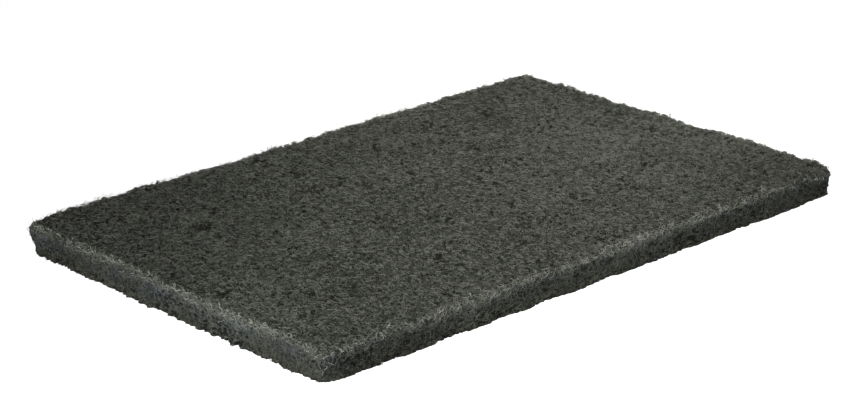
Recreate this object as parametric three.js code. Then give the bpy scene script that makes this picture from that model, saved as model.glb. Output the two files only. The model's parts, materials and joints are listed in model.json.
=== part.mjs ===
// Non-woven abrasive hand pad: one block of tangled, resin-bonded fibre, die-cut from a web.
// Millimetres, +Z up. The origin is the centre of the face that the pad rests on,
// and the long side runs along X.
import * as THREE from "three";
import { ImprovedNoise } from "three/addons/math/ImprovedNoise.js";
import { mergeGeometries, mergeVertices } from "three/addons/utils/BufferGeometryUtils.js";

// Cut size, at the middle of the ragged surface
const padLength = 230;
const padWidth = 150;
const padThickness = 10;

// Soft edges left by the die
const cornerRadius = 2.5; // upright corners, in plan, at the upper face
const cornerReach = 10; // how far from a corner its droop begins
const shoulderRadius = 1; // upper edge
const heelRadius = 0.4; // lower edge

// How far the upper face droops at each corner, and how much rounder the corner is at the resting face
const corners = {
  nearLeft: { droop: 2, tuck: 2.5 },
  nearRight: { droop: 2, tuck: 1.5 },
  farLeft: { droop: 1.8, tuck: 6 },
  farRight: { droop: 0, tuck: 2.5 },
};

// Lofty upper face: broad mats of web with bundles of fibre crossing them
const matRelief = 0.5;
const matSpacing = 22;
const bundleRelief = 1.2;
const bundleSpacing = 9;

// Ragged cut: the wall wanders in and out of the die's line
const frayDepth = 0.9;
const fraySpacing = 6.5;

// Grid of the surface
const webPitch = 3.2;
const wallPitch = 2.4;
const arcSteps = 3; // steps round each soft edge

// Colour and finish of the fibre
const fibreColor = 0x474842;
const fibreRoughness = 0.95;

const halfLength = padLength / 2;
const halfWidth = padWidth / 2;

// The web's randomness. Mats and bundles come from different slices of one noise field,
// and the mean hollow is how far the field strays from zero on average.
const web = { field: new ImprovedNoise(), matSlice: 0.5, bundleSlice: 7.5, meanHollow: 0.2 };

// Insets and heights of the points on a quarter round, from its upright end to its flat end.
function quarterRound(radius) {
  return Array.from({ length: arcSteps + 1 }, (_, i) => {
    const angle = (i / arcSteps) * (Math.PI / 2);
    return { inset: radius * (1 - Math.cos(angle)), rise: radius * Math.sin(angle) };
  });
}

// Evenly spaced values from start to end, about pitch apart, with both ends.
function evenSteps(start, end, pitch) {
  const count = Math.max(1, Math.round(Math.abs(end - start) / pitch));
  return Array.from({ length: count + 1 }, (_, i) => start + ((end - start) * i) / count);
}

// Grid lines from one side of the pad to the other: close together on the shoulders, even between.
function gridLines(half) {
  const shoulder = quarterRound(shoulderRadius).map(({ inset }) => inset - half);
  const flat = evenSteps(shoulderRadius - half, half - shoulderRadius, webPitch).slice(1, -1);
  return [...shoulder, ...flat, ...shoulder.map((x) => -x).reverse()];
}

// The corner in the same quarter of the plan as a point.
function cornerNear(x, y) {
  if (y < 0) {
    return x < 0 ? corners.nearLeft : corners.nearRight;
  }
  return x < 0 ? corners.farLeft : corners.farRight;
}

// How far the upper face has fallen at a point of the plan.
function droopAt(x, y) {
  const distance = Math.hypot(halfLength - Math.abs(x), halfWidth - Math.abs(y));
  const share = Math.max(1 - distance / cornerReach, 0);
  return cornerNear(x, y).droop * share * share;
}

// Moves a point of the square-cornered plan to its place in the plan with round corners.
function roundedPlan(x, y, z) {
  const radius = cornerRadius + cornerNear(x, y).tuck * (1 - z / padThickness);
  const coreX = halfLength - radius;
  const coreY = halfWidth - radius;
  const u = Math.max(Math.abs(x) - coreX, 0) / radius;
  const v = Math.max(Math.abs(y) - coreY, 0) / radius;
  const roundX = Math.min(Math.abs(x), coreX) + radius * u * Math.sqrt(1 - (v * v) / 2);
  const roundY = Math.min(Math.abs(y), coreY) + radius * v * Math.sqrt(1 - (u * u) / 2);
  return new THREE.Vector2(Math.sign(x) * roundX, Math.sign(y) * roundY);
}

// The plan point drawn in by an inset and by the ragged cut. A share of 0 leaves the cut out.
function frayedPlan(x, y, z, inset, share) {
  const plan = roundedPlan(x, y, z);
  const wander = web.field.noise(plan.x / fraySpacing, plan.y / fraySpacing, z / fraySpacing);
  const drawnIn = inset - frayDepth * wander * share;
  plan.x *= 1 - drawnIn / halfLength;
  plan.y *= 1 - drawnIn / halfWidth;
  return plan;
}

// Height of the lofty face over its middle level: mats with ridged bundles on them.
function loft(x, y) {
  const mat = web.field.noise(x / matSpacing, y / matSpacing, web.matSlice);
  const hollow = Math.abs(web.field.noise(x / bundleSpacing, y / bundleSpacing, web.bundleSlice));
  return matRelief * mat + bundleRelief * (web.meanHollow - hollow);
}

// A point of the upper face, which rolls over the shoulder at its rim.
function facePoint(x, y) {
  const inset = Math.min(halfLength - Math.abs(x), halfWidth - Math.abs(y));
  const roll = Math.max(shoulderRadius - inset, 0) / shoulderRadius;
  const drop = shoulderRadius * (1 - Math.sqrt(1 - roll * roll));
  const level = padThickness - drop - droopAt(x, y);
  const plan = frayedPlan(x, y, level, 0, roll);
  return new THREE.Vector3(plan.x, plan.y, level + loft(plan.x, plan.y) * (1 - roll * roll));
}

// Rows of the wall from the shoulder down to the resting face.
function wallRows() {
  const upright = evenSteps(padThickness - shoulderRadius, heelRadius, wallPitch).map((z) => ({
    z,
    inset: 0,
  }));
  const heel = quarterRound(heelRadius).map(({ inset, rise }) => ({ z: heelRadius - rise, inset }));
  return [...upright, ...heel.slice(1)];
}

// A point of the wall, below a point of the rim. Its rows close up under a droop.
function wallPoint(rim, row) {
  const z = row.z * (1 - droopAt(rim.x, rim.y) / (padThickness - shoulderRadius));
  const plan = frayedPlan(rim.x, rim.y, z, row.inset, 1);
  return new THREE.Vector3(plan.x, plan.y, z);
}

// A sheet of quads with its points given by column and row.
function sheet(columns, rows, pointAt) {
  const geometry = new THREE.PlaneGeometry(1, 1, columns - 1, rows - 1);
  const position = geometry.getAttribute("position");
  for (let row = 0; row < rows; row++) {
    for (let column = 0; column < columns; column++) {
      const point = pointAt(column, row);
      position.setXYZ(row * columns + column, point.x, point.y, point.z);
    }
  }
  return geometry;
}

// The rim of the plan as a closed, counterclockwise loop of grid points.
function rimLoop(linesX, linesY) {
  const near = linesX.map((x) => ({ x, y: -halfWidth }));
  const right = linesY.map((y) => ({ x: halfLength, y }));
  const far = linesX.map((x) => ({ x: -x, y: halfWidth }));
  const left = linesY.map((y) => ({ x: -halfLength, y: -y }));
  return [near, right, far, left].flatMap((side) => side.slice(0, -1));
}

// The flat face underneath, inside the last row of the wall.
function restingFace(loop) {
  const outline = loop.map((point) => new THREE.Vector2(point.x, -point.y));
  return new THREE.ShapeGeometry(new THREE.Shape(outline)).rotateX(Math.PI);
}

function padGeometry() {
  const linesX = gridLines(halfLength);
  const linesY = gridLines(halfWidth);
  const face = sheet(linesX.length, linesY.length, (column, row) =>
    facePoint(linesX[column], -linesY[row]),
  );
  const rim = rimLoop(linesX, linesY);
  const rows = wallRows();
  const wall = sheet(rim.length + 1, rows.length, (column, row) =>
    wallPoint(rim[column % rim.length], rows[row]),
  );
  const rest = restingFace(rim.map((point) => wallPoint(point, rows.at(-1))));
  const closed = mergeGeometries([face, wall, rest]);
  closed.deleteAttribute("normal");
  closed.deleteAttribute("uv");
  const pad = mergeVertices(closed, 1e-3);
  pad.computeVertexNormals();
  return pad;
}

const fibre = new THREE.MeshStandardMaterial({
  name: "fibre",
  color: fibreColor,
  roughness: fibreRoughness,
  metalness: 0,
});

const abrasivePad = new THREE.Mesh(padGeometry(), fibre);
abrasivePad.name = "abrasive_pad";

const part = new THREE.Group();
part.name = "non_woven_abrasive_pad";
part.add(abrasivePad);

export default part;
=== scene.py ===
import json
import math
import random

import bpy
import numpy as np
from mathutils import Euler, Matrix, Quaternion, Vector

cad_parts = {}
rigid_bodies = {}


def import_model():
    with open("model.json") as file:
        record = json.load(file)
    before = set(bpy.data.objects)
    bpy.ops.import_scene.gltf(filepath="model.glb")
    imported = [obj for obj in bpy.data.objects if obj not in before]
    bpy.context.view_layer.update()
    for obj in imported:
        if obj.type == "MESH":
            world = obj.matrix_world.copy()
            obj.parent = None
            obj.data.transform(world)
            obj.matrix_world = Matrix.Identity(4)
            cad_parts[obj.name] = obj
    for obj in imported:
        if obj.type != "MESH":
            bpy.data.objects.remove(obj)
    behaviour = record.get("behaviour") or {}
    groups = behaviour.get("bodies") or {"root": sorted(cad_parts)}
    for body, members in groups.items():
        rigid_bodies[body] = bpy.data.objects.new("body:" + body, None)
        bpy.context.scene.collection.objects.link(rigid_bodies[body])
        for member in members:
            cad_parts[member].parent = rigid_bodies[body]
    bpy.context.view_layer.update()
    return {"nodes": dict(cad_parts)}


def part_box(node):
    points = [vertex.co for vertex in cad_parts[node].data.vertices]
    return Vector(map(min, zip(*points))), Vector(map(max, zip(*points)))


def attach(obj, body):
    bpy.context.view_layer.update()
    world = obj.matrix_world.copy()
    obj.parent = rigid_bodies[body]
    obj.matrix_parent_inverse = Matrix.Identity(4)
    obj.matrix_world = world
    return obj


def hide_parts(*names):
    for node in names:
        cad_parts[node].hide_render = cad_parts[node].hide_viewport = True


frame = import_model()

padNode = "abrasive_pad"
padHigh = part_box(padNode)[1]   # upper corner of the CAD solid's box
cutHalf = (0.115, 0.075)       # half the length and half the width that the die cuts
millimetre = 0.001


# Small helpers

def deselectAll():
    if bpy.context.object and bpy.context.object.mode != "OBJECT":
        bpy.ops.object.mode_set(mode="OBJECT")
    bpy.ops.object.select_all(action="DESELECT")


def makeActive(piece):
    deselectAll()
    piece.select_set(True)
    bpy.context.view_layer.objects.active = piece


# One edit mode operator on the whole mesh of the active piece
def editAll(operator, **settings):
    bpy.ops.object.mode_set(mode="EDIT")
    bpy.ops.mesh.select_all(action="SELECT")
    operator(**settings)
    bpy.ops.object.mode_set(mode="OBJECT")


def applyModifiers(piece):
    makeActive(piece)
    for modifier in list(piece.modifiers):
        bpy.ops.object.modifier_apply(modifier=modifier.name)


def trianglesIn(face):
    return len(face.vertices) - 2


def triangleCount(piece):
    return sum(trianglesIn(face) for face in piece.data.polygons)


# A node with its settings, and with its inputs by name or number, as values or as links
def addNode(tree, kind, inputs=None, **settings):
    node = tree.nodes.new(kind)
    for name, value in settings.items():
        setattr(node, name, value)
    for name, value in (inputs or {}).items():
        if isinstance(value, bpy.types.NodeSocket):
            tree.links.new(value, node.inputs[name])
        else:
            node.inputs[name].default_value = value
    return node


def mathNode(tree, operation, *values):
    inputs = dict(enumerate(values))
    return addNode(tree, "ShaderNodeMath", inputs, operation=operation).outputs[0]


def vectorNode(tree, operation, first, second):
    inputs = {0: first, 1: second}
    return addNode(tree, "ShaderNodeVectorMath", inputs, operation=operation).outputs["Vector"]


def scaleNode(tree, vector, factor):
    inputs = {0: vector, "Scale": factor}
    return addNode(tree, "ShaderNodeVectorMath", inputs, operation="SCALE").outputs["Vector"]


def splitNode(tree, vector):
    return addNode(tree, "ShaderNodeSeparateXYZ", {0: vector}).outputs


def joinNode(tree, x, y, z):
    return addNode(tree, "ShaderNodeCombineXYZ", {0: x, 1: y, 2: z}).outputs[0]


# Smooth ramp between two values, held at its ends
def rangeNode(tree, value, fromLow, fromHigh, toLow=0.0, toHigh=1.0):
    return addNode(tree, "ShaderNodeMapRange", {
        "Value": value, "From Min": fromLow, "From Max": fromHigh, "To Min": toLow, "To Max": toHigh,
    }, interpolation_type="SMOOTHSTEP").outputs["Result"]


def noiseNode(tree, place, scale, detail=2.0, roughness=0.5, output="Fac"):
    return addNode(tree, "ShaderNodeTexNoise", {
        "Vector": place, "Scale": scale, "Detail": detail, "Roughness": roughness,
    }).outputs[output]


def mixColours(tree, share, first, second, blend="MIX"):
    inputs = {0: share, 6: first, 7: second}   # the colour sockets of a mix node
    return addNode(tree, "ShaderNodeMix", inputs, data_type="RGBA", blend_type=blend).outputs[2]


def groupNode(tree, group, **inputs):
    return addNode(tree, "ShaderNodeGroup", inputs, node_tree=group).outputs[0]


warmTip = (1.0, 1.9, -1.75)   # how warmth moves the red, the green and the blue of a grey


def grey(value, warmth=0.0):
    return (*(value * (1 + warmth * tip) for tip in warmTip), 1)


# Looks: node groups that the web and the loose strands share

def groupTree(name, inputs, outputs):
    tree = bpy.data.node_groups.new(name, "ShaderNodeTree")
    for socketName, kind, value in inputs:
        socket = tree.interface.new_socket(socketName, in_out="INPUT", socket_type=kind)
        if value is not None:
            socket.default_value = value
    for socketName, kind in outputs:
        tree.interface.new_socket(socketName, in_out="OUTPUT", socket_type=kind)
    start = tree.nodes.new("NodeGroupInput").outputs
    end = tree.nodes.new("NodeGroupOutput").inputs
    return tree, start, end


mottleSettings = {
    "patchSize": 24.0,   # millimetres across the thick and the thin places
    "clumpSize": 5.0,    # and across the clumps in them
    "patchNoise": (2.0, 0.55),   # detail and roughness
    "clumpNoise": (3.0, 0.65),
    "weights": (0.5, 0.5),
    "contrast": (0.32, 0.68),
}


# Patchy tone of the felt: thick and thin places, and finer clumps
def makeMottleGroup(settings):
    tree, start, end = groupTree("webMottle", [
        ("Vector", "NodeSocketVector", None),
        ("Patch Size", "NodeSocketFloat", settings["patchSize"]),
        ("Clump Size", "NodeSocketFloat", settings["clumpSize"]),
    ], [("Tone", "NodeSocketFloat")])
    patchScale = mathNode(tree, "DIVIDE", 1.0, start["Patch Size"])
    clumpScale = mathNode(tree, "DIVIDE", 1.0, start["Clump Size"])
    patch = noiseNode(tree, start["Vector"], patchScale, *settings["patchNoise"])
    clump = noiseNode(tree, start["Vector"], clumpScale, *settings["clumpNoise"])
    patchWeight, clumpWeight = settings["weights"]
    both = mathNode(tree, "ADD", mathNode(tree, "MULTIPLY", patch, patchWeight),
                    mathNode(tree, "MULTIPLY", clump, clumpWeight))
    tree.links.new(rangeNode(tree, both, *settings["contrast"]), end["Tone"])
    return tree


pitSettings = {
    "size": 2.1,              # millimetres across a pit and the web round it
    "noise": (2.0, 0.6),      # detail and roughness of its outline
    "cluster": 12.0,          # millimetres across a group of pits
    "clusterDetail": 1.0,
    "clusterWeight": 0.35,
    "threshold": (0.735, 0.84),
    "depth": 0.0005,
    "edgeBand": (1.0, 4.0),   # the die packs the web at its edge, so pits are faint there
    "atEdge": 0.4,
    "wallTop": 8.0,           # below this height they are open again, as slots between the layers
    "wallFade": 1.5,
    "slotStretch": 2.2,
}


# Distance inside the box of the pad in millimetres, along X and along Y
def edgeInset(tree, place):
    axes = splitNode(tree, place)
    return [mathNode(tree, "SUBTRACT", half / millimetre, mathNode(tree, "ABSOLUTE", axes[name]))
            for name, half in (("X", padHigh.x), ("Y", padHigh.y))]


# Open places in the web, where the eye sees deep between the fibres: 0 on the web, 1 in a pit. The body
# is sunk there, and the materials paint the pits with shade
def pitField(tree, place):
    axes = splitNode(tree, place)
    overTop = mathNode(tree, "SUBTRACT", axes["Z"], pitSettings["wallTop"])
    belowTop = mathNode(tree, "MINIMUM", overTop, 0.0)
    layers = mathNode(tree, "MULTIPLY_ADD", belowTop, pitSettings["slotStretch"] - 1, axes["Z"])
    layered = joinNode(tree, axes["X"], axes["Y"], layers)
    small = noiseNode(tree, layered, 1 / pitSettings["size"], *pitSettings["noise"])
    wide = noiseNode(tree, place, 1 / pitSettings["cluster"], pitSettings["clusterDetail"])
    both = mathNode(tree, "MULTIPLY_ADD", wide, pitSettings["clusterWeight"], small)
    inset = mathNode(tree, "MINIMUM", *edgeInset(tree, place))
    onFace = rangeNode(tree, inset, *pitSettings["edgeBand"], pitSettings["atEdge"], 1.0)
    onWall = rangeNode(tree, belowTop, 0.0, -pitSettings["wallFade"])
    strength = mathNode(tree, "MAXIMUM", onFace, onWall)
    return mathNode(tree, "MULTIPLY", rangeNode(tree, both, *pitSettings["threshold"]), strength)


def makePitGroup():
    tree, start, end = groupTree("webPits", [
        ("Vector", "NodeSocketVector", None),
    ], [("Depth", "NodeSocketFloat")])
    tree.links.new(pitField(tree, start["Vector"]), end["Depth"])
    return tree


# Bands are in millimetres: insets from the edge, or heights over the resting face
wallShadeSettings = {
    "insetBand": (3.0, 1.5),    # where the look of the wall begins, and where it is full
    "topBand": (9.4, 8.2),
    "endBand": (6.0, 2.0),      # the short ends, whose walls get a lighter and cooler painted light
    "shadeBand": (4.6, 8.8),    # from the painted shade of the lower wall to the painted light of the upper wall
    # Painted shade of the lower wall, lighter on the short ends
    "lowerLong": (0.53, 0.535, 0.515, 1),
    "lowerEnds": (0.60, 0.605, 0.585, 1),
    "upper": (0.97, 0.97, 0.97, 1),
    "shiftScale": 0.28,
    "shift": (0.3, 0.7, -0.8, 0.8),   # noise to millimetres that the shading wanders up and down
    # Tint of the painted cool light under the shoulder
    "cool": (1.0, 1.04, 1.28, 1),
    "coolTop": (8.8, 7.6),
    "coolFoot": (1.5, 5.0),
    "coolScale": 0.16,
    "coolPatches": (0.38, 0.64, 0.25, 1.0),   # noise to share of the painted cool light
    "coolLong": 0.5,
    "coolEnds": 0.35,           # this much more of it at the short ends
}


# Cut wall: painted cool light under the shoulder, painted shade towards the resting face, and lighter
# painted light on the short ends
def makeWallShadeGroup(settings):
    tree, start, end = groupTree("cutWallShade", [
        ("Vector", "NodeSocketVector", None),
        ("Colour", "NodeSocketColor", None),
    ], [("Colour", "NodeSocketColor")])
    height = splitNode(tree, start["Vector"])["Z"]
    insetX, insetY = edgeInset(tree, start["Vector"])
    inset = mathNode(tree, "MINIMUM", insetX, insetY)
    onWall = mathNode(tree, "MULTIPLY", rangeNode(tree, inset, *settings["insetBand"]),
                      rangeNode(tree, height, *settings["topBand"]))
    ends = rangeNode(tree, insetX, *settings["endBand"])
    # Painted shade low on the wall, lighter on the short ends
    lower = mixColours(tree, ends, settings["lowerLong"], settings["lowerEnds"])
    # Painted shade rising into painted light up the wall
    wander = noiseNode(tree, start["Vector"], settings["shiftScale"])
    shifted = mathNode(tree, "ADD", height, rangeNode(tree, wander, *settings["shift"]))
    light = rangeNode(tree, shifted, *settings["shadeBand"])
    paintedWallShade = mixColours(tree, light, lower, settings["upper"])
    # Painted cool light under the shoulder, more of it on the short ends
    cool = mathNode(tree, "MULTIPLY", rangeNode(tree, height, *settings["coolTop"]),
                    rangeNode(tree, height, *settings["coolFoot"]))
    patches = noiseNode(tree, start["Vector"], settings["coolScale"])
    patchy = rangeNode(tree, patches, *settings["coolPatches"])
    bySide = mathNode(tree, "MULTIPLY_ADD", ends, settings["coolEnds"], settings["coolLong"])
    cool = mathNode(tree, "MULTIPLY", mathNode(tree, "MULTIPLY", cool, patchy), bySide)
    paintedWallShade = mixColours(tree, cool, paintedWallShade, settings["cool"], "MULTIPLY")
    wallShadeMix = mixColours(tree, onWall, (1, 1, 1, 1), paintedWallShade)
    tree.links.new(mixColours(tree, 1.0, start["Colour"], wallShadeMix, "MULTIPLY"), end["Colour"])
    return tree


mottleGroup = makeMottleGroup(mottleSettings)
pitGroup = makePitGroup()
wallShadeGroup = makeWallShadeGroup(wallShadeSettings)
print("Looks: shared node groups ready")


resinSpecular = 0.06   # the resin is dull


def newMaterial(name, roughness):
    material = bpy.data.materials.new(name)
    material.use_nodes = True
    tree = material.node_tree
    shader = tree.nodes["Principled BSDF"]
    shader.inputs["Roughness"].default_value = roughness
    shader.inputs["Specular IOR Level"].default_value = resinSpecular
    place = addNode(tree, "ShaderNodeTexCoord").outputs["Object"]
    return material, tree, shader, scaleNode(tree, place, 1 / millimetre)


webLook = {
    # Painted shade in the pits and between the drawn fibres
    "pitShade": grey(0.016, 0.05),
    "deepFibre": grey(0.060, 0.05),
    "lightFibre": grey(0.125, 0.05),
    "roughness": 0.9,
    "bumpHeight": 0.0004,
    "wander": 1.1,         # how far the drawn fibres stray from straight
    "wanderScale": 0.9,
    "core": 0.2,           # share of a fibre's width that is fully light
    "dipScale": 0.55,
    "dip": (0.35, 0.6),
    "dipped": 0.2,         # brightness left where a fibre dips into the web, as painted shade
    "nets": [              # cell, half width of its fibres, offset and brightness
        (1.1, 0.22, (0, 0, 0), 1.0),
        (1.6, 0.24, (31, 7, 3), 0.9),
        (2.3, 0.26, (11, 53, 9), 0.8),
    ],
}


# Net of fibres between cells: light on the lines, painted shade inside, and painted shade on a fibre
# where it dips into the web
def drawNet(tree, place, look, net):
    cell, halfWidth, offset, brightness = net
    moved = vectorNode(tree, "ADD", place, offset)
    edge = addNode(tree, "ShaderNodeTexVoronoi", {
        "Vector": moved, "Scale": 1 / cell, "Randomness": 1.0,
    }, feature="DISTANCE_TO_EDGE").outputs["Distance"]
    line = rangeNode(tree, edge, halfWidth / cell, look["core"] * halfWidth / cell)
    dip = noiseNode(tree, moved, look["dipScale"], 1.0)
    fade = rangeNode(tree, dip, *look["dip"], look["dipped"] * brightness, brightness)
    return mathNode(tree, "MULTIPLY", line, fade)


def makeWebMaterial(look):
    material, tree, shader, place = newMaterial("feltedWeb", look["roughness"])
    stray = noiseNode(tree, place, look["wanderScale"], 1.0, output="Color")
    centred = vectorNode(tree, "SUBTRACT", stray, (0.5, 0.5, 0.5))
    bent = vectorNode(tree, "ADD", place, scaleNode(tree, centred, 2 * look["wander"]))
    lines = drawNet(tree, bent, look, look["nets"][0])
    for net in look["nets"][1:]:
        lines = mathNode(tree, "MAXIMUM", lines, drawNet(tree, bent, look, net))
    mottle = groupNode(tree, mottleGroup, Vector=place)
    pits = groupNode(tree, pitGroup, Vector=place)
    fibre = mixColours(tree, mottle, look["deepFibre"], look["lightFibre"])
    # Painted shade between the drawn fibres, then in the pits
    colour = mixColours(tree, lines, look["pitShade"], fibre)
    colour = mixColours(tree, pits, colour, look["pitShade"])
    colour = groupNode(tree, wallShadeGroup, Vector=place, Colour=colour)
    tree.links.new(colour, shader.inputs["Base Color"])
    bump = addNode(tree, "ShaderNodeBump", {
        "Strength": 1.0, "Distance": look["bumpHeight"],
        "Height": mathNode(tree, "SUBTRACT", lines, pits),
    })
    tree.links.new(bump.outputs["Normal"], shader.inputs["Normal"])
    return material


# A high power of the tone leaves few fibres pale
# shade is the painted shade on a strand where it crosses a pit
strandLooks = {
    "face": {"darkFibre": grey(0.073, 0.05), "paleFibre": grey(0.133, 0.045), "power": 1.2,
             "shade": grey(0.014, 0.05), "roughness": 0.8, "onWall": True},
    "wall": {"darkFibre": grey(0.055, 0.05), "paleFibre": grey(0.165, 0.045), "power": 1.5,
             "shade": grey(0.012, 0.05), "roughness": 0.8, "onWall": True},
    # The edge and loop fibres are paler: loose fringe, partly painted highlight where the thin fibres
    # catch the light
    "edge": {"darkFibre": grey(0.075, 0.04), "paleFibre": grey(0.295, 0.03), "power": 1.5,
             "shade": grey(0.03, 0.05), "roughness": 0.75, "onWall": False},
    "loop": {"darkFibre": grey(0.15, 0.04), "paleFibre": grey(0.42, 0.03), "power": 1.2,
             "shade": grey(0.03, 0.05), "roughness": 0.75, "onWall": False},
}
ownTone, webTone = 0.7, 0.3   # what a strand's own tone, partly painted light by its height, and the patchy web give to its colour


def makeStrandMaterial(name, look):
    material, tree, shader, place = newMaterial(name, look["roughness"])
    tone = addNode(tree, "ShaderNodeAttribute", attribute_name="tone").outputs["Fac"]
    bright = mathNode(tree, "POWER", tone, look["power"])
    mottle = groupNode(tree, mottleGroup, Vector=place)
    share = mathNode(tree, "ADD", mathNode(tree, "MULTIPLY", bright, ownTone),
                     mathNode(tree, "MULTIPLY", mottle, webTone))
    colour = mixColours(tree, share, look["darkFibre"], look["paleFibre"])
    pits = groupNode(tree, pitGroup, Vector=place)
    # Painted shade on a strand where it crosses a pit
    colour = mixColours(tree, pits, colour, look["shade"])
    if look["onWall"]:
        colour = groupNode(tree, wallShadeGroup, Vector=place, Colour=colour)
    tree.links.new(colour, shader.inputs["Base Color"])
    return material


webMaterial = makeWebMaterial(webLook)
strandMaterials = {name: makeStrandMaterial(name + "Fibre", look)
                   for name, look in strandLooks.items()}
print("Looks: materials ready")


# Felted body of the pad, grown from the CAD solid

bodySettings = {
    "weld": 1e-6,
    "voxel": 0.001,
    "swell": 0.0001,         # how far the felt stands out past the die's line
    "splay": 0.0005,         # how far its foot spreads where it rests
    "restGap": 0.0001,       # flattened strands carry it
    "relief": [              # zone, size and height of the clumps
        ("everywhere", 0.0060, 0.0006),
        ("face", 0.0024, 0.0007),
        ("wall", 0.0024, 0.0003),
        ("rim", 0.0011, 0.0021),
        ("foot", 0.0013, 0.0026),
    ],
    "fineRim": (0.002, 0.0065),    # finer faces: how far in on the rim, and from which height up
    "fineFoot": (0.001, 0.0018),   # how far in at the foot of the wall, and up to which height
    "cornerBand": 0.004,           # and how far along each wall at the upright corners
    "edgeBand": (0.001, 0.003),    # insets where the relief of the wall and the rim fades out
    "rimBand": (0.007, 0.009),     # heights where the wall gives way to the rim
    "footInset": (0.001, 0.002),
    "footBand": (0.0015, 0.003),
    "cornerTufts": 0.6,      # share of the rim's tufts on the upright corners
    "longFray": 0.3,         # share of the foot's fray on the long sides, which are cut cleaner
    "roll": {                # worn near right corner, less worn at its very end
        "depth": 0.0032, "along": 0.045, "inward": 0.008, "end": 0.010, "atEnd": 0.1},
    "thinned": 0.05,         # share of the resting face's triangles that stay
}


def geometryTree(name):
    tree = bpy.data.node_groups.new(name, "GeometryNodeTree")
    tree.interface.new_socket("Geometry", in_out="INPUT", socket_type="NodeSocketGeometry")
    tree.interface.new_socket("Geometry", in_out="OUTPUT", socket_type="NodeSocketGeometry")
    start = tree.nodes.new("NodeGroupInput").outputs[0]
    end = tree.nodes.new("NodeGroupOutput").inputs[0]
    here = tree.nodes.new("GeometryNodeInputPosition").outputs[0]
    return tree, start, end, here


# One row for each point of a mesh
def readPlaces(mesh):
    place = np.zeros(len(mesh.vertices) * 3)
    mesh.vertices.foreach_get("co", place)
    return place.reshape(-1, 3)


def readNormals(mesh):
    outward = np.zeros(len(mesh.vertices) * 3)
    mesh.vertex_normals.foreach_get("vector", outward)
    return outward.reshape(-1, 3)


def writePlaces(mesh, place):
    mesh.vertices.foreach_set("co", place.ravel())
    mesh.update()


def addToGroup(group, chosen, weight):
    group.add([int(i) for i in np.flatnonzero(chosen)], weight, "REPLACE")


# Distance of each point inside the die's line, along X and along Y
def insetFrom(place):
    return np.stack([half - abs(place[:, axis]) for axis, half in enumerate(cutHalf)])


# Halves the faces of the rim, where the tufts are, of the frayed foot and of the corners
def refineRim(body, settings):
    place = readPlaces(body.data)
    insets = insetFrom(place)
    inset, height = insets.min(0), place[:, 2]
    rimInset, rimHeight = settings["fineRim"]
    footInset, footHeight = settings["fineFoot"]
    onRim = (inset < rimInset) & (height > rimHeight)
    onFoot = (inset < footInset) & (height < footHeight)
    onCorner = insets.max(0) < settings["cornerBand"]
    makeActive(body)
    bpy.ops.object.mode_set(mode="EDIT")
    bpy.ops.mesh.select_mode(type="VERT")
    bpy.ops.mesh.select_all(action="DESELECT")
    bpy.ops.object.mode_set(mode="OBJECT")
    body.data.vertices.foreach_set("select", onRim | onFoot | onCorner)
    bpy.ops.object.mode_set(mode="EDIT")
    bpy.ops.mesh.subdivide(number_cuts=1)
    bpy.ops.object.mode_set(mode="OBJECT")


# Rolls the near long edge down towards the right corner, less and less from its brink to its foot
def rollCorner(body, settings):
    place = readPlaces(body.data)
    roll = settings["roll"]
    halfX, halfY = cutHalf
    fromEnd = halfX - place[:, 0]
    along = np.clip(1 - fromEnd / roll["along"], 0, 1)
    across = np.clip(1 - (halfY + place[:, 1]) / roll["inward"], 0, 1)
    easedEnd = np.interp(fromEnd, (0, roll["end"]), (roll["atEnd"], 1))
    share = along ** 2 * (3 - 2 * along) * across ** 2 * easedEnd
    place[:, 2] *= 1 - share * roll["depth"] / padHigh.z
    writePlaces(body.data, place)


# Vertex groups for the zones of the relief
def markRelief(body, settings):
    place = readPlaces(body.data)
    insets = insetFrom(place)
    inset, height = insets.min(0), place[:, 2]
    nearEdge = np.interp(inset, settings["edgeBand"], (1, 0))
    onWall = nearEdge * np.interp(height, settings["rimBand"], (1, 0))
    onRim = nearEdge * np.interp(height, settings["rimBand"], (0, 1))
    cornerBand = settings["cornerBand"]
    onCorner = np.interp(insets.max(0), (0.5 * cornerBand, cornerBand), (1, 0))
    overFoot = np.interp(height, settings["footBand"], (0, 1))
    onRim = np.maximum(onRim, settings["cornerTufts"] * onCorner * overFoot)
    onFoot = np.interp(inset, settings["footInset"], (1, 0))
    onFoot *= np.interp(height, settings["footBand"], (1, 0))
    onFoot *= np.where(insets[0] < insets[1], 1.0, settings["longFray"])
    zones = {"everywhere": np.ones(len(place)), "wall": onWall, "rim": onRim, "foot": onFoot,
             "face": 1 - onWall}
    for name, share in zones.items():
        group = body.vertex_groups.new(name=name)
        for tenth in range(1, 11):
            addToGroup(group, np.round(share * 10) == tenth, tenth / 10)


# Hollows the surface where the looks show a pit
def sinkPits():
    tree, start, end, here = geometryTree("sinkPits")
    pits = pitField(tree, scaleNode(tree, here, 1 / millimetre))
    normal = tree.nodes.new("GeometryNodeInputNormal").outputs[0]
    inward = scaleNode(tree, normal, mathNode(tree, "MULTIPLY", pits, -pitSettings["depth"]))
    sunk = addNode(tree, "GeometryNodeSetPosition", {"Geometry": start, "Offset": inward})
    tree.links.new(sunk.outputs[0], end)
    return tree


# Presses the lowest points flat and spreads the foot, then thins out the flat face they make
def restFlat(body, settings):
    place = readPlaces(body.data)
    outward = readNormals(body.data)
    low = place[:, 2] < settings["voxel"]
    place[low, :2] += settings["splay"] * outward[low, :2]
    place[low, 2] = settings["restGap"]
    writePlaces(body.data, place)
    resting = body.vertex_groups.new(name="resting")
    addToGroup(resting, low, 1)
    flat = sum(trianglesIn(face) for face in body.data.polygons if low[list(face.vertices)].all())
    thin = body.modifiers.new("thin", "DECIMATE")
    thin.vertex_group = resting.name
    thin.ratio = 1 - flat * (1 - settings["thinned"]) / triangleCount(body)
    applyModifiers(body)
    editAll(bpy.ops.mesh.delete_loose)   # the thinning can leave an edge with no face


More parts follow.
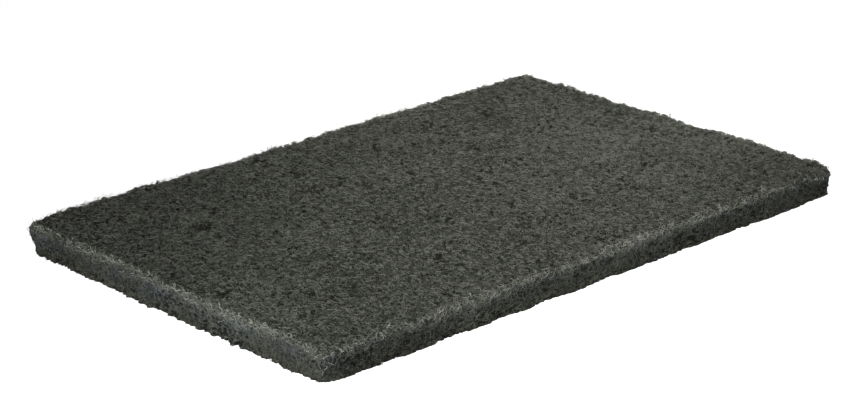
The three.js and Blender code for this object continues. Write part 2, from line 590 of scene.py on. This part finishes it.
def makeBody(settings):
    body = bpy.data.objects.new("web_body", frame["nodes"][padNode].data.copy())
    bpy.context.scene.collection.objects.link(body)
    makeActive(body)
    editAll(bpy.ops.mesh.remove_doubles, threshold=settings["weld"])
    remesh = body.modifiers.new("felt", "REMESH")
    remesh.mode = "VOXEL"
    remesh.voxel_size = settings["voxel"]
    applyModifiers(body)
    refineRim(body, settings)
    rollCorner(body, settings)
    markRelief(body, settings)
    swell = body.modifiers.new("swell", "DISPLACE")
    swell.mid_level = 0
    swell.strength = settings["swell"]
    for zone, size, height in settings["relief"]:
        clouds = bpy.data.textures.new("clumps", "CLOUDS")
        clouds.noise_scale = size
        clouds.noise_depth = 1
        relief = body.modifiers.new("clumps", "DISPLACE")
        relief.vertex_group = zone
        relief.texture = clouds
        relief.texture_coords = "LOCAL"
        relief.strength = height
        relief.mid_level = 0.5
    pits = body.modifiers.new("pits", "NODES")
    pits.node_group = sinkPits()
    applyModifiers(body)
    restFlat(body, settings)
    bpy.ops.object.shade_smooth()
    body.data.materials.clear()
    body.data.materials.append(webMaterial)
    return body


# Pairs are for the near and for the far sides
zoneSettings = {
    "shoulderBand": 0.0015,          # width of the rolled upper edge
    "shoulderFoot": 0.0084,          # height where it meets the wall
    "ridgeBand": (0.0008, 0.0018),   # width of the pale ridge on it, partly painted highlight
    "endRidge": 0.35,                # how much of the ridge's fibre the near short end has
    "farRidge": 1.1,                 # and the far sides
    "cornerRidge": 0.35,             # and the upright corners
    "crestBand": (0.0010, 0.0020),   # width of the fuzzy crest
    "crestFoot": 0.006,
    "nearCrest": 0.4,                # how much of the crest's fuzz the near long side has
    "cornerCrest": 0.5,              # and the upright corners
    "facing": {"face": 0.5, "wall": 0.8, "under": -0.6, "crest": 0.3, "corner": -0.5},
}


# Where each kind of strand lies, as shares on the body's points
def markZones(body, settings):
    place = readPlaces(body.data)
    upward = readNormals(body.data)[:, 2]
    insets = insetFrom(place)
    inset, height = insets.min(0), place[:, 2]
    facing = settings["facing"]
    shoulder = settings["shoulderBand"]
    high = height > settings["shoulderFoot"]
    longSide = insets[1] < insets[0]
    farSide = np.where(longSide, place[:, 1], place[:, 0]) > 0

    def bySide(pair):
        return np.where(farSide, pair[1], pair[0])

    nearRidge = np.where(longSide, 1.0, settings["endRidge"])
    onRidge = (inset < bySide(settings["ridgeBand"])) & high
    ridge = onRidge * bySide((nearRidge, settings["farRidge"]))
    onCrest = (inset < bySide(settings["crestBand"])) & (height > settings["crestFoot"])
    onCrest &= upward > facing["crest"]
    crest = onCrest * np.where(longSide & ~farSide, settings["nearCrest"], 1.0)
    corner = (insets.max(0) < shoulder) & ~high & (upward > facing["corner"])
    zones = {
        "faceShare": (upward > facing["face"]) & (inset > 0.5 * shoulder),
        "wallShare": (abs(upward) < facing["wall"]) & (inset < shoulder),
        "underShare": upward < facing["under"],
        "ridgeShare": np.maximum(ridge, settings["cornerRidge"] * corner),
        "crestShare": np.where(onCrest, crest, settings["cornerCrest"] * corner),
    }
    for name, share in zones.items():
        attribute = body.data.attributes.new(name, "FLOAT", "POINT")
        attribute.data.foreach_set("value", np.asarray(share, float))


body = makeBody(bodySettings)
markZones(body, zoneSettings)
print("Body:", triangleCount(body), "triangles")


# Curled strands of fibre, modelled once and scattered over the body

strandSettings = {
    "curl": {"kinds": 24, "steps": 6, "stepLength": 0.00042, "radius": 0.00011,
             "bendRadius": (0.00035, 0.0008), "turnChance": 0.3, "straighten": 0.0,
             "rise": 0.00005, "dip": 0.0003, "wobble": 0.00015, "rooted": False, "seed": 21},
    "wisp": {"kinds": 24, "steps": 5, "stepLength": 0.00045, "radius": 0.0001,
             "bendRadius": (0.0006, 0.002), "turnChance": 0.35, "straighten": 0.1,
             "rise": 0.00006, "dip": 0.0003, "wobble": 0.0001, "rooted": False, "seed": 22},
    "hair": {"kinds": 18, "steps": 6, "stepLength": 0.00056, "radius": 0.00008,
             "bendRadius": (0.0016, 0.006), "turnChance": 0.3, "straighten": 0.1,
             "rise": 0.0001, "dip": 0.0003, "wobble": 0.0001, "rooted": False, "seed": 23},
    "loop": {"kinds": 24, "steps": 5, "stepLength": 0.00042, "radius": 0.00007,
             "bendRadius": (0.00035, 0.0008), "turnChance": 0.15, "straighten": 0.0,
             "rise": 0.0, "dip": 0.0, "wobble": 0.0002, "rooted": True, "seed": 24},
}
strandForm = {
    "sides": 3,
    "tip": 0.5,            # how thin the ends are
    "firstTurn": 0.6,
    "waves": (1.5, 2.6),   # how often a strand wobbles up and down
    "archPower": 0.6,      # a low power keeps the middle level and drops the ends
    "weld": 1e-7,
}


def strandPath(settings, rng):
    heading = rng.uniform(-strandForm["firstTurn"], strandForm["firstTurn"])
    bend = rng.choice((-1, 1)) / rng.uniform(*settings["bendRadius"])
    phase = rng.uniform(0, math.tau)
    waves = rng.uniform(*strandForm["waves"])
    points = [Vector((0, 0, 0))]
    for _ in range(settings["steps"]):
        if rng.random() < settings["turnChance"]:
            bend = -math.copysign(1, bend) / rng.uniform(*settings["bendRadius"])
        heading += bend * settings["stepLength"]
        heading -= settings["straighten"] * heading
        ahead = Vector((math.cos(heading), math.sin(heading), 0))
        points.append(points[-1] + settings["stepLength"] * ahead)
    middle = Vector() if settings["rooted"] else sum(points, Vector()) / len(points)
    for i, point in enumerate(points):
        share = i / settings["steps"]
        arch = math.sin(math.pi * share) ** strandForm["archPower"]
        point -= middle
        point.z = arch * (settings["rise"] + settings["dip"]) - settings["dip"]
        point.z += settings["wobble"] * math.sin(phase + share * waves * math.tau)
    return points


bakeMap = "OFBake"
capCorners = ((0.0, 1.05), (0.2, 1.05), (0.1, 1.25), (0.8, 1.05), (1.0, 1.05), (0.9, 1.25))
cellMargin = 0.1
cellSpan = (0.8, 0.64)


# The map that comes with a bevelled curve is good along the sides. Its two caps get their own corners
def mapStrand(mesh):
    layer = mesh.uv_layers[0]
    layer.name = bakeMap
    for loop, place in zip(layer.data, capCorners):
        loop.uv = place


# Sets the strands of a piece side by side in the map, each in a cell of its own
def spreadMap(piece, loopsEach):
    layer = piece.data.uv_layers[bakeMap]
    place = np.zeros(2 * len(layer.data))
    layer.data.foreach_get("uv", place)
    place = place.reshape(-1, 2)
    strand = np.arange(len(place)) // loopsEach
    across = math.ceil(math.sqrt(strand[-1] + 1))
    cell = np.stack((strand % across, strand // across), 1)
    layer.data.foreach_set("uv", ((cell + cellMargin + place * cellSpan) / across).ravel())


def makeStrands(name, settings):
    rng = random.Random(settings["seed"])
    stock = bpy.data.collections.new(name)
    bpy.context.scene.collection.children.link(stock)
    deselectAll()
    bpy.ops.mesh.primitive_circle_add(vertices=strandForm["sides"], radius=settings["radius"])
    section = bpy.context.object
    bpy.ops.object.convert(target="CURVE")
    for kind in range(settings["kinds"]):
        curve = bpy.data.curves.new("strand", "CURVE")
        curve.dimensions = "3D"
        curve.bevel_mode = "OBJECT"
        curve.bevel_object = section
        curve.use_fill_caps = True
        points = strandPath(settings, rng)
        spline = curve.splines.new("POLY")
        spline.points.add(len(points) - 1)
        for i, point in enumerate(points):
            spline.points[i].co = (*point, 1)
            spline.points[i].radius = strandForm["tip"] if i in (0, len(points) - 1) else 1
        strand = bpy.data.objects.new(f"{name}_{kind}", curve)
        stock.objects.link(strand)
        makeActive(strand)
        bpy.ops.object.convert(target="MESH")
        mapStrand(strand.data)
        editAll(bpy.ops.mesh.remove_doubles, threshold=strandForm["weld"])   # joins caps and sides
    bpy.data.objects.remove(section)
    each = triangleCount(stock.objects[0])
    print("Strands:", settings["kinds"], name, "kinds of", each, "triangles")
    return stock


strandStock = {name: makeStrands(name, settings) for name, settings in strandSettings.items()}

thinPatches = (0.35, 0.6, 0.3, 1.0)   # noise to share of the strands that stay
highTone = 0.5                        # what height gives to the tone, as painted light on the higher strands and painted shade on the lower, and the rest is chance


# Strands on a square metre of a zone: fewer in thin patches, or else fewer over the pits
def strandDensity(tree, here, settings):
    zone = addNode(tree, "GeometryNodeInputNamedAttribute", {"Name": settings["zone"]},
                   data_type="FLOAT").outputs[0]
    density = mathNode(tree, "MULTIPLY", zone, settings["perSquareMetre"])
    inMillimetres = scaleNode(tree, here, 1 / millimetre)
    if settings["patch"]:
        stay = rangeNode(tree, noiseNode(tree, inMillimetres, 1 / settings["patch"]), *thinPatches)
    else:
        stay = mathNode(tree, "SUBTRACT", 1.0, pitField(tree, inMillimetres))
    return mathNode(tree, "MULTIPLY", density, stay)


# What would go through the floor lies flat on it
def pressFlat(tree, here, strands):
    axes = splitNode(tree, here)
    rested = joinNode(tree, axes["X"], axes["Y"], mathNode(tree, "MAXIMUM", axes["Z"], 0.0))
    return addNode(tree, "GeometryNodeSetPosition", {
        "Geometry": strands, "Position": rested}).outputs[0]


# Geometry nodes that lay strands over one zone of the body
def layStrands(name, settings):
    tree, start, end, here = geometryTree(name)
    seed = settings["seed"]

    def between(span, draw):
        return addNode(tree, "FunctionNodeRandomValue", {2: span[0], 3: span[1], "Seed": seed + draw},
                       data_type="FLOAT").outputs[1]

    spread = addNode(tree, "GeometryNodeDistributePointsOnFaces", {
        "Mesh": start, "Seed": seed, "Density": strandDensity(tree, here, settings),
    }, distribute_method="RANDOM")
    outward = spread.outputs["Normal"]
    height = between((0.0, 1.0), 1)
    lowest, highest = settings["lift"]
    lift = mathNode(tree, "MULTIPLY_ADD", height, highest - lowest, lowest)
    lifted = addNode(tree, "GeometryNodeSetPosition", {
        "Geometry": spread.outputs["Points"], "Offset": scaleNode(tree, outward, lift)})
    sideways = vectorNode(tree, "CROSS_PRODUCT", (0.0, 0.0, 1.0), outward)
    turned = addNode(tree, "FunctionNodeAxesToRotation", {
        "Primary Axis": outward, "Secondary Axis": sideways,
    }, primary_axis="Z", secondary_axis="X").outputs[0]
    for turn, axis, draw in (("spin", (0, 0, 1), 2), ("pitch", (0, 1, 0), 5), ("roll", (1, 0, 0), 6)):
        turnBy = addNode(tree, "FunctionNodeAxisAngleToRotation", {
            "Axis": axis, "Angle": between(settings[turn], draw)}).outputs[0]
        turned = addNode(tree, "FunctionNodeRotateRotation", {
            "Rotation": turned, "Rotate By": turnBy}, rotation_space="LOCAL").outputs[0]
    kinds = addNode(tree, "GeometryNodeCollectionInfo", {
        "Collection": strandStock[settings["strands"]],
        "Separate Children": True, "Reset Children": True})
    placed = addNode(tree, "GeometryNodeInstanceOnPoints", {
        "Points": lifted.outputs[0], "Instance": kinds.outputs[0], "Pick Instance": True,
        "Rotation": turned, "Scale": between(settings["scale"], 3)})
    # Tone: painted light on the higher strands and painted shade on the lower, plus random tone
    tone = mathNode(tree, "MULTIPLY_ADD", height, highTone, between((0.0, 1 - highTone), 4))
    toned = addNode(tree, "GeometryNodeStoreNamedAttribute", {
        "Geometry": placed.outputs[0], "Name": "tone", "Value": tone,
    }, data_type="FLOAT", domain="INSTANCE")
    real = addNode(tree, "GeometryNodeRealizeInstances", {"Geometry": toned.outputs[0]})
    smooth = addNode(tree, "GeometryNodeSetShadeSmooth", {
        "Geometry": pressFlat(tree, here, real.outputs[0])})
    dressed = addNode(tree, "GeometryNodeSetMaterial", {
        "Geometry": smooth.outputs[0], "Material": strandMaterials[settings["look"]]})
    tree.links.new(dressed.outputs[0], end)
    return tree


def scatter(name, settings):
    piece = bpy.data.objects.new(name, body.data.copy())
    bpy.context.scene.collection.objects.link(piece)
    modifier = piece.modifiers.new("strands", "NODES")
    modifier.node_group = layStrands(name, settings)
    applyModifiers(piece)
    bpy.ops.object.material_slot_remove_unused()
    spreadMap(piece, len(strandStock[settings["strands"]].objects[0].data.loops))
    print(name + ":", triangleCount(piece), "triangles")
    return piece


# A patch is the millimetres across a thin place, and without one the strands keep off the pits
anyWay = (0.0, math.tau)
lyingFlat = (0.0, 0.0)
faceLaying = {
    "zone": "faceShare", "strands": "curl", "look": "face", "perSquareMetre": 143000, "patch": None,
    "spin": anyWay, "pitch": lyingFlat, "roll": (-0.3, 0.3),
    "lift": (-0.0001, 0.0003), "scale": (0.8, 1.3)}
layings = {
    "face_fibres_1": {**faceLaying, "seed": 100},
    "face_fibres_2": {**faceLaying, "seed": 200},
    "face_fibres_3": {**faceLaying, "seed": 300},
    "wall_fibres": {
        "zone": "wallShare", "strands": "wisp", "look": "wall", "perSquareMetre": 540000, "patch": None,
        "spin": (-0.35, 0.35), "pitch": lyingFlat, "roll": (-0.4, 0.4),
        "lift": (-0.0001, 0.0002), "scale": (0.8, 1.3), "seed": 400},
    "under_fibres": {
        "zone": "underShare", "strands": "curl", "look": "face", "perSquareMetre": 16000, "patch": None,
        "spin": anyWay, "pitch": lyingFlat, "roll": (-0.3, 0.3),
        "lift": (0.0, 0.0002), "scale": (0.8, 1.3), "seed": 500},
    "edge_fringe": {
        "zone": "ridgeShare", "strands": "wisp", "look": "edge", "perSquareMetre": 700000, "patch": 14.0,
        "spin": (-0.4, 0.4), "pitch": lyingFlat, "roll": (-0.5, 0.5),
        "lift": (0.0, 0.0002), "scale": (0.7, 1.2), "seed": 600},
    "edge_hairs": {
        "zone": "ridgeShare", "strands": "hair", "look": "edge", "perSquareMetre": 600000, "patch": 9.0,
        "spin": (-0.25, 0.25), "pitch": lyingFlat, "roll": (-0.6, 0.6),
        "lift": (0.0, 0.0003), "scale": (0.6, 1.1), "seed": 700},
    "crest_loops": {
        "zone": "crestShare", "strands": "loop", "look": "loop", "perSquareMetre": 1400000, "patch": 3.5,
        "spin": (-0.6, 0.6), "pitch": (-0.4, 0.4), "roll": (1.0, 2.1),
        "lift": (-0.0002, 0.0001), "scale": (0.8, 1.4), "seed": 800},
}

pieces = [body]
for name, settings in layings.items():
    pieces.append(scatter(name, settings))

for stock in strandStock.values():
    for strand in list(stock.objects):
        bpy.data.objects.remove(strand)
    bpy.data.collections.remove(stock)

for piece in pieces:
    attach(piece, "root")
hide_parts(padNode)
print("Pad:", len(pieces), "pieces,", sum(triangleCount(piece) for piece in pieces), "triangles")


# Floor, light and camera

# 1 for what the camera sees, also in metal or glass, and 0 for light on the pad
def seenDirectly(tree):
    path = tree.nodes.new("ShaderNodeLightPath").outputs
    mirrored = mathNode(tree, "MAXIMUM", path["Is Glossy Ray"], path["Is Transmission Ray"])
    return mathNode(tree, "MAXIMUM", path["Is Camera Ray"], mirrored)


floorSettings = {
    "size": 6.0,
    "level": -0.00002,   # a hair under the lowest strands
    "albedo": 0.5,
    "glow": 0.94,
}


def makeFloor(settings):
    deselectAll()
    bpy.ops.mesh.primitive_plane_add(size=settings["size"], location=(0, 0, settings["level"]))
    floor = bpy.context.object
    floor.name = "floor"
    material = bpy.data.materials.new("paleFloor")
    material.use_nodes = True
    tree = material.node_tree
    tree.nodes.clear()
    matt = addNode(tree, "ShaderNodeBsdfDiffuse", {"Color": grey(settings["albedo"])})
    strength = mathNode(tree, "MULTIPLY", seenDirectly(tree), settings["glow"])
    glow = addNode(tree, "ShaderNodeEmission", {"Color": (1, 1, 1, 1), "Strength": strength})
    above = addNode(tree, "ShaderNodeAddShader", {0: matt.outputs[0], 1: glow.outputs[0]})
    clear = tree.nodes.new("ShaderNodeBsdfTransparent")   # from below, to see the resting face
    fromBelow = tree.nodes.new("ShaderNodeNewGeometry").outputs["Backfacing"]
    oneSided = addNode(tree, "ShaderNodeMixShader", {
        0: fromBelow, 1: above.outputs[0], 2: clear.outputs[0]})
    output = tree.nodes.new("ShaderNodeOutputMaterial")
    tree.links.new(oneSided.outputs[0], output.inputs["Surface"])
    floor.data.materials.append(material)


worldFill = 0.05   # strength of the light from all round


def makeWorld(fill):
    world = bpy.data.worlds.new("studio")
    bpy.context.scene.world = world
    world.use_nodes = True
    tree = world.node_tree
    background = tree.nodes["Background"]
    background.inputs["Color"].default_value = (1, 1, 1, 1)
    strength = addNode(tree, "ShaderNodeMapRange", {
        "Value": seenDirectly(tree), "To Min": fill, "To Max": 1.0})
    tree.links.new(strength.outputs["Result"], background.inputs["Strength"])


lampSettings = {
    "key": {"place": (-0.483, -0.541, 0.387), "aim": (0.149, 0.096, 0),
            "size": 0.06, "grid": 0.40, "watts": 0.22, "colour": (1, 1, 0.98)},
    "overRight": {"place": (0.343, 0.174, 0.481), "aim": (0.129, -0.018, 0),
                  "size": 0.05, "grid": 0.30, "watts": 0.0235, "colour": (1, 1, 0.98)},
    "leftFill": {"place": (-0.34, -0.17, 0.10), "aim": (-0.1, -0.06, 0),
                 "size": 0.12, "grid": math.pi, "watts": 1.65, "colour": (0.98, 1, 1)},
}


def makeLamp(name, settings):
    bpy.ops.object.light_add(type="AREA", location=settings["place"])
    lamp = bpy.context.object
    lamp.name = name
    lamp.data.size = settings["size"]
    lamp.data.spread = settings["grid"]   # angle of the honeycomb in front of the lamp
    lamp.visible_camera = False
    lamp.data.energy = settings["watts"]
    lamp.data.color = settings["colour"]
    towards = Vector(settings["aim"]) - Vector(settings["place"])
    lamp.rotation_euler = towards.to_track_quat("-Z", "Y").to_euler()


cameraSettings = {
    "place": (-0.542841, -0.587938, 0.300115),
    "azimuth": -42.4966,
    "elevation": 20.2246,
    "roll": -0.7055,
    "lens": 106.378,
    "sensor": 36.0,
}


def makeCamera(settings):
    bpy.ops.object.camera_add(location=settings["place"])
    camera = bpy.context.object
    tilt = math.radians(90 - settings["elevation"])
    upright = Euler((tilt, 0, math.radians(settings["azimuth"]))).to_quaternion()
    rolled = upright @ Quaternion((0, 0, 1), math.radians(settings["roll"]))
    camera.rotation_euler = rolled.to_euler()
    camera.data.lens = settings["lens"]
    camera.data.sensor_width = settings["sensor"]
    camera.data.sensor_fit = "HORIZONTAL"
    bpy.context.scene.camera = camera


makeFloor(floorSettings)
makeWorld(worldFill)
for name, settings in lampSettings.items():
    makeLamp(name, settings)
makeCamera(cameraSettings)
bpy.context.scene.view_settings.view_transform = "Standard"
print("Studio: floor, lamps and camera ready")
